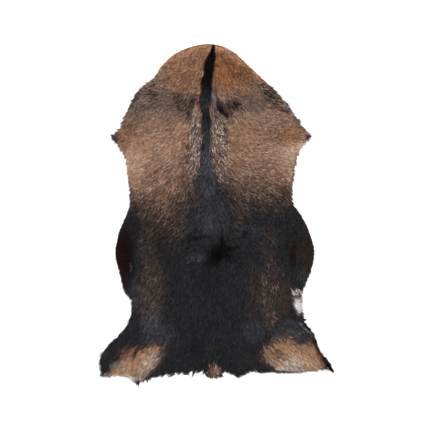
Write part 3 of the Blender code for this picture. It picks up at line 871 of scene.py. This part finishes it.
def wisps():
    """Base, tip and width vector of each wisp, and its number of hairs."""
    _, base_x, base_y, tip_x, tip_y, widths, hair_counts = zip(*WISPS)
    bases = np.stack([base_x, base_y], 1) * MM
    tips = np.stack([tip_x, tip_y], 1) * MM
    across = turned(unit(tips - bases), np.pi / 2)
    return bases, tips, across * np.array(widths)[:, None] * MM, hair_counts


def grow_locks(rng, locks, reach_range, first):
    """Roots and tips of the hairs of the locks, with each hair's lock, counted from first, and rise."""
    bases, points, widths, hair_counts = locks
    of_lock = np.repeat(np.arange(len(bases)), hair_counts)
    hairs = len(of_lock)
    way = points - bases
    roots = bases[of_lock] + widths[of_lock] * rng.normal(0, LOCK_ROOT_SPREAD, hairs)[:, None]
    outwards = unit(way)
    roots -= outwards[of_lock] * rng.uniform(*LOCK_ROOT_DEPTHS, hairs)[:, None]
    reach = rng.uniform(*reach_range, len(bases))[of_lock]
    share = (reach * rng.uniform(LOCK_SHORTEST, 1, hairs))[:, None]
    tips = bases[of_lock] + way[of_lock] * share
    across = turned(outwards, np.pi / 2)
    flare = LOCK_FLARE - (LOCK_FLARE - 1) * share
    tips += across[of_lock] * rng.normal(0, LOCK_TIP_SPREAD, hairs)[:, None] * flare
    return roots, tips, of_lock + first, rng.normal(0, HAIR_RISE, hairs)


def grow_hair(rng):
    """Roots, middles and tips of all hairs, their sideways vectors and their colours."""
    grown = grow_clumps(rng)
    for locks, reach_range in ((rim_locks(), LOCK_REACH), (wisps(), WISP_REACH)):
        more = grow_locks(rng, locks, reach_range, first=grown[2].max() + 1)
        grown = [np.concatenate(both) for both in zip(grown, more)]
    roots, tips, clump, rise = grown
    clumps, hairs = clump.max() + 1, len(roots)
    across = turned(unit(tips - roots, WELD), np.pi / 2)
    middles = roots + (tips - roots) * MIDDLE_AT + across * rng.normal(0, SIDE_BEND, hairs)[:, None]

    room = smooth_step(inset_plan.at(middles) / EDGE_ROOM)
    free_rise = rise * (EDGE_RISE_SHARE + (1 - EDGE_RISE_SHARE) * room)
    root_z = np.maximum(hide_top(roots) - ROOT_HOLD, top_plan.at(roots) - ROOT_DEPTH)
    middle_z = top_plan.at(middles) - MIDDLE_DEPTH * room + free_rise * MIDDLE_RISE_SHARE
    middle_z = np.maximum(middle_z, hide_top(middles))
    tip_z = top_plan.at(tips) - TIP_DEPTH + free_rise
    past = np.clip(-inset_plan.at(tips) / DROOP_WIDTH, 0, 1)
    curl = low_plan.at(tips)
    tip_z -= (tip_z - curl * DROOP_SHARE - DROOP_CLEARANCE) * past
    tip_z = np.maximum(tip_z, curl * LEAST_TIP_SHARE + FLOOR_CLEARANCE)

    roll = np.radians(rng.normal(0, ROLL_DEG, hairs))
    over_edge = np.clip(-inset_plan.at(tips) / FINE_FROM, 0, 1)
    width = HAIR_WIDTH * rng.uniform(*HAIR_WIDTHS, hairs) * (1 - FRINGE_THINNING * over_edge) / 2
    side = np.column_stack([across * np.cos(roll)[:, None], np.sin(roll)]) * width[:, None]

    takes_clump = rng.uniform(0, 1, hairs) < CLUMP_PICK_SHARE
    pick = np.where(takes_clump, rng.uniform(0, 1, clumps)[clump], rng.uniform(0, 1, hairs))
    shown = roots + (tips - roots) * SHOWN_AT
    colours = coat_colours(shown, pick)
    darkness = np.exp(-colours.mean(1) / DARK_BELOW)
    contrast = growth_at(shown)[3]
    tone = rng.normal(0, CLUMP_TONE, clumps)[clump] + rng.normal(0, HAIR_TONE, hairs)
    tone += cloud(rng, TONE_CLOUD_SIZE).at(shown) * CLOUD_TONE
    # The exponential of a normal spread has a mean that is higher by half the variance.
    mean_gain = 0.5 * contrast**2 * (CLUMP_TONE**2 + HAIR_TONE**2)
    evenness = (colours.mean(1)[:, None] / colours) ** TONE_EVENNESS
    lift = np.clip((tone * contrast - mean_gain)[:, None] * evenness, *TONE_LIMITS)
    warm = rng.normal(0, WARMTH, clumps)[clump] + rng.normal(0, WARMTH, hairs)
    warm += sum(cloud(rng, size).at(shown) for size in WARMTH_CLOUD_SIZES) * CLOUD_WARMTH
    green = rng.normal(0, GREENNESS, clumps)[clump] + rng.normal(0, GREENNESS, hairs)
    colours *= np.exp(lift + np.stack([warm, green, -warm], 1) * (1 - darkness)[:, None])
    return (
        np.column_stack([roots, root_z]),
        np.column_stack([middles, middle_z]),
        np.column_stack([tips, tip_z]),
        side,
        colours,
    )


def give_uv(data, coords):
    """A map like the plan, but it leans with the height so that upright faces have some width."""
    size = (PLAN_HIGH - PLAN_LOW).max() + UV_MARGIN
    places = (coords[:, :2] - PLAN_LOW + coords[:, 2:] * UV_LEAN) / size
    layer = data.uv_layers.new(name="OFBake")
    corner_vert = np.zeros(len(data.loops), np.int32)
    data.loops.foreach_get("vertex_index", corner_vert)
    layer.data.foreach_set("uv", places[corner_vert].astype(np.float32).ravel())


def give_colours(data, colours):
    layer = data.color_attributes.new("Coat", "FLOAT_COLOR", "POINT")
    rgba = np.column_stack([np.clip(colours, 0, 1), np.ones(len(colours))])
    layer.data.foreach_set("color", rgba.astype(np.float32).ravel())


def add_object(name, data):
    added = bpy.data.objects.new(name, data)
    bpy.context.scene.collection.objects.link(added)
    return added


def make_piece(name, coords, corner_verts, face_sizes, material):
    """A mesh from arrays, riding on the skin's body."""
    data = bpy.data.meshes.new(name)
    data.vertices.add(len(coords))
    data.vertices.foreach_set("co", coords.astype(np.float32).ravel())
    data.loops.add(len(corner_verts))
    data.loops.foreach_set("vertex_index", corner_verts.astype(np.int32))
    data.polygons.add(len(face_sizes))
    starts = np.concatenate([[0], np.cumsum(face_sizes)[:-1]])
    data.polygons.foreach_set("loop_start", starts.astype(np.int32))
    data.update(calc_edges=True)
    data.shade_smooth()
    data.materials.append(material)
    piece = add_object(name, data)
    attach(piece, BODY)
    return piece


def make_hair_piece(name, hair, material):
    """Each hair is a narrow four-sided strip that bends once and ends in a three-sided point."""
    roots, middles, tips, side, colours = hair
    count = len(roots)
    slim = side * MIDDLE_WIDTH_SHARE
    coords = np.stack([roots - side, roots + side, middles - slim, middles + slim, tips], 1)
    coords = coords.reshape(-1, 3)
    corners = np.array([0, 1, 3, 2, 2, 3, 4])
    corner_verts = (np.arange(count)[:, None] * 5 + corners).ravel()
    face_sizes = np.tile((4, 3), count)
    piece = make_piece(name, coords, corner_verts, face_sizes, material)
    # Darker roots and lighter tips: partly the hair's own colour, partly painted shade deep in the coat.
    shades = np.array([ROOT_SHADE, ROOT_SHADE, MIDDLE_SHADE, MIDDLE_SHADE, TIP_SHADE])
    give_colours(piece.data, (colours[:, None, :] * shades[:, None]).reshape(-1, 3))
    give_uv(piece.data, coords)
    return piece


def slab_outline(inset):
    """The cut edge, drawn in by an inset, as points about that far inside it."""
    outline = rim_edge[:, :2]
    before, after = np.roll(outline, 1, axis=0), np.roll(outline, -1, axis=0)
    way = unit(after - before)
    inwards = np.stack([way[:, 1], -way[:, 0]], 1)
    if not is_within(outline[:1] + inwards[:1] * inset, outline)[0]:
        inwards = -inwards
    drawn_in = outline + inwards * inset
    spaced = [drawn_in[0]]
    for point in drawn_in[1:]:
        if np.linalg.norm(point - spaced[-1]) > inset:
            spaced.append(point)
    return np.array(spaced)


def make_slab(name, inset, spacing, lower, upper, material):
    """A closed sheet between two heights, inside the cut edge."""
    outline = slab_outline(inset)
    inner = hex_places(spacing)
    inner = inner[is_within(inner, outline)]
    inner = inner[inset_plan.at(inner) > inset + spacing / 2]
    places = np.concatenate([outline, inner])
    border = [(index, (index + 1) % len(outline)) for index in range(len(outline))]
    points = [Vector(place) for place in places]
    made_points, _, triangles, _, _, _ = delaunay_2d_cdt(points, border, [], 1, CLOSENESS)
    places = np.array([tuple(point) for point in made_points])
    triangles = np.array(triangles)
    count = len(places)
    top = np.column_stack([places, upper(places)])
    bottom = np.column_stack([places, lower(places)])
    ring = np.arange(len(outline))
    after = np.roll(ring, -1)
    walls = np.stack([ring + count, after + count, after, ring], 1)
    corner_verts = np.concatenate([triangles.ravel(), (triangles[:, ::-1] + count).ravel(), walls.ravel()])
    face_sizes = np.repeat((3, 4), (2 * len(triangles), len(walls)))
    coords = np.concatenate([top, bottom])
    piece = make_piece(name, coords, corner_verts, face_sizes, material)
    piece.data.validate()
    return piece


def hide_top(places):
    return low_plan.at(places) + HIDE_THICKNESS


def undercoat_bottom(places):
    return hide_top(places) + UNDERCOAT_LIFT


def undercoat_top(places):
    least = undercoat_bottom(places) + LEAST_UNDERCOAT
    return np.maximum(top_plan.at(places) - UNDERCOAT_DEPTH, least)


def mesh_coords(piece):
    coords = np.zeros(len(piece.data.vertices) * 3, np.float32)
    piece.data.vertices.foreach_get("co", coords)
    return coords.reshape(-1, 3).astype(float)


def set_inputs(node, values):
    for name, value in values.items():
        node.inputs[name].default_value = value


def new_material(name, values):
    """A material and its shader, whose inputs have the given values."""
    material = bpy.data.materials.new(name)
    material.use_nodes = True
    shader = material.node_tree.nodes["Principled BSDF"]
    set_inputs(shader, values)
    return material, shader


def add_node(material, kind, values=None):
    node = material.node_tree.nodes.new("ShaderNode" + kind)
    set_inputs(node, values or {})
    return node


def link(material, start, output, end, socket):
    material.node_tree.links.new(start.outputs[output], end.inputs[socket])


def make_coat_material(name, roughness, noise_scale):
    """Hair: the piece's own colours, broken up by fine noise, with a soft sheen."""
    material, shader = new_material(name, {"Roughness": roughness, "Specular IOR Level": HAIR_GLOSS})
    colour = add_node(material, "Attribute")
    colour.attribute_name = "Coat"
    place = add_node(material, "TexCoord")
    noise = add_node(material, "TexNoise", {"Scale": noise_scale, "Detail": NOISE_DETAIL})
    levels = add_node(material, "MapRange", NOISE_LEVELS)
    tint = add_node(material, "VectorMath")
    tint.operation = "SCALE"
    link(material, place, "Object", noise, "Vector")
    link(material, noise, "Fac", levels, "Value")
    link(material, colour, "Color", tint, "Vector")
    link(material, levels, "Result", tint, "Scale")
    link(material, tint, "Vector", shader, "Base Color")
    return material


def make_hide_material():
    """Suede side of the tanned hide: cream, with faint clouds and a fine nap."""
    material, shader = new_material("suede", {"Roughness": 0.85, "Sheen Weight": 0.25})
    place = add_node(material, "TexCoord")
    clouds = add_node(material, "TexNoise", SUEDE_CLOUDS)
    ramp = add_node(material, "ValToRGB")
    for stop, (position, levels) in zip(ramp.color_ramp.elements, SUEDE_COLOURS):
        stop.position = position
        stop.color = (*to_linear(levels), 1)
    nap = add_node(material, "TexNoise", {"Scale": SUEDE_NAP_SCALE})
    bump = add_node(material, "Bump", SUEDE_BUMP)
    link(material, place, "Object", clouds, "Vector")
    link(material, place, "Object", nap, "Vector")
    link(material, clouds, "Fac", ramp, "Fac")
    link(material, ramp, "Color", shader, "Base Color")
    link(material, nap, "Fac", bump, "Height")
    link(material, bump, "Normal", shader, "Normal")
    return material


def make_floor():
    material, _ = new_material("pale_floor", {"Base Color": FLOOR_COLOUR, "Roughness": FLOOR_ROUGHNESS})
    half = FLOOR_SIZE / 2
    data = bpy.data.meshes.new("floor")
    corners = [(-half, -half), (half, -half), (half, half), (-half, half)]
    data.from_pydata([(x, y, -FLOOR_DROP) for x, y in corners], [], [(0, 1, 2, 3)])
    data.materials.append(material)
    floor = add_object("floor", data)


def make_light_and_camera():
    scene = bpy.context.scene
    scene.view_settings.view_transform = "Standard"
    world = bpy.data.worlds.new("studio")
    world.use_nodes = True
    background = {"Color": (1, 1, 1, 1), "Strength": WORLD_STRENGTH}
    set_inputs(world.node_tree.nodes["Background"], background)
    scene.world = world
    for lamp in LAMPS:
        data = bpy.data.lights.new(lamp.name, "AREA")
        data.size = lamp.size
        data.energy = lamp.power
        light = add_object(lamp.name, data)
        light.location = lamp.x, lamp.y, lamp.z
        light.rotation_euler = (-Vector(light.location)).to_track_quat("-Z", "Y").to_euler()
    data = bpy.data.cameras.new("camera")
    data.lens = CAMERA_LENS
    camera = add_object("camera", data)
    camera.location = CAMERA_PLACE
    scene.camera = camera


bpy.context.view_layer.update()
skin_low, skin_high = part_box(SKIN)
PLAN_LOW = np.array(skin_low)[:2] - GRID_MARGIN
PLAN_HIGH = np.array(skin_high)[:2] + GRID_MARGIN
rim = skin_rim()
is_tip = rim[:, 3] <= TIP_THICKNESS
rim_edge = rim[~is_tip]
lock_tips = rim[is_tip]
lock_starts = np.roll(rim, 1, axis=0)[is_tip, :2]
lock_ends = np.roll(rim, -1, axis=0)[is_tip, :2]

grid, grid_counts = grid_places()
top, low, is_there = measure_heights(grid)
edge_line = fill_line(rim_edge[:, :2], EDGE_STEP)
edge_index, edge_distance = nearest(tree_of(edge_line), grid)
inset = np.where(is_within(grid, rim_edge[:, :2]), edge_distance, -edge_distance)
tip_lengths = nearest(tree_of(edge_line), lock_tips[:, :2])[1]
tip_index, tip_distance = nearest(tree_of(lock_tips[:, :2]), edge_line)
edge_fringe = np.where(tip_distance < FRINGE_REACH, tip_lengths[tip_index], 0.0)

inset_plan = Plan(inset.reshape(grid_counts))
fringe_plan = Plan(edge_fringe[edge_index].reshape(grid_counts))
known = (is_there & (inset > 0)).reshape(grid_counts)
top_plan = Plan(spread_outwards(top.reshape(grid_counts), known))
low_plan = Plan(spread_outwards(low.reshape(grid_counts), known))

rng = np.random.default_rng(SEED)
hide = make_slab("hide", HIDE_INSET, HIDE_GRID, low_plan.at, hide_top, make_hide_material())
give_uv(hide.data, mesh_coords(hide))
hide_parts(SKIN)
under_material = make_coat_material("undercoat", roughness=0.8, noise_scale=700.0)
undercoat = make_slab(
    "undercoat", UNDERCOAT_INSET, UNDERCOAT_GRID, undercoat_bottom, undercoat_top, under_material
)
undercoat_at = mesh_coords(undercoat)
undercoat_pick = rng.uniform(0, 1, len(undercoat_at))
# The undercoat is darker than the hair: painted shade deep in the coat.
give_colours(undercoat.data, coat_colours(undercoat_at[:, :2], undercoat_pick) * UNDERCOAT_PAINTED_SHADE)
give_uv(undercoat.data, undercoat_at)

hair = grow_hair(rng)
root_y = hair[0][:, 1]
hair_material = make_coat_material("guard_hair", roughness=0.5, noise_scale=250.0)
above = np.inf
for stretch in STRETCHES:
    chosen = (root_y <= above) & (root_y > stretch.down_to)
    stretch_hair = [part[chosen] for part in hair]
    make_hair_piece(stretch.name, stretch_hair, hair_material)
    above = stretch.down_to

make_floor()
make_light_and_camera()
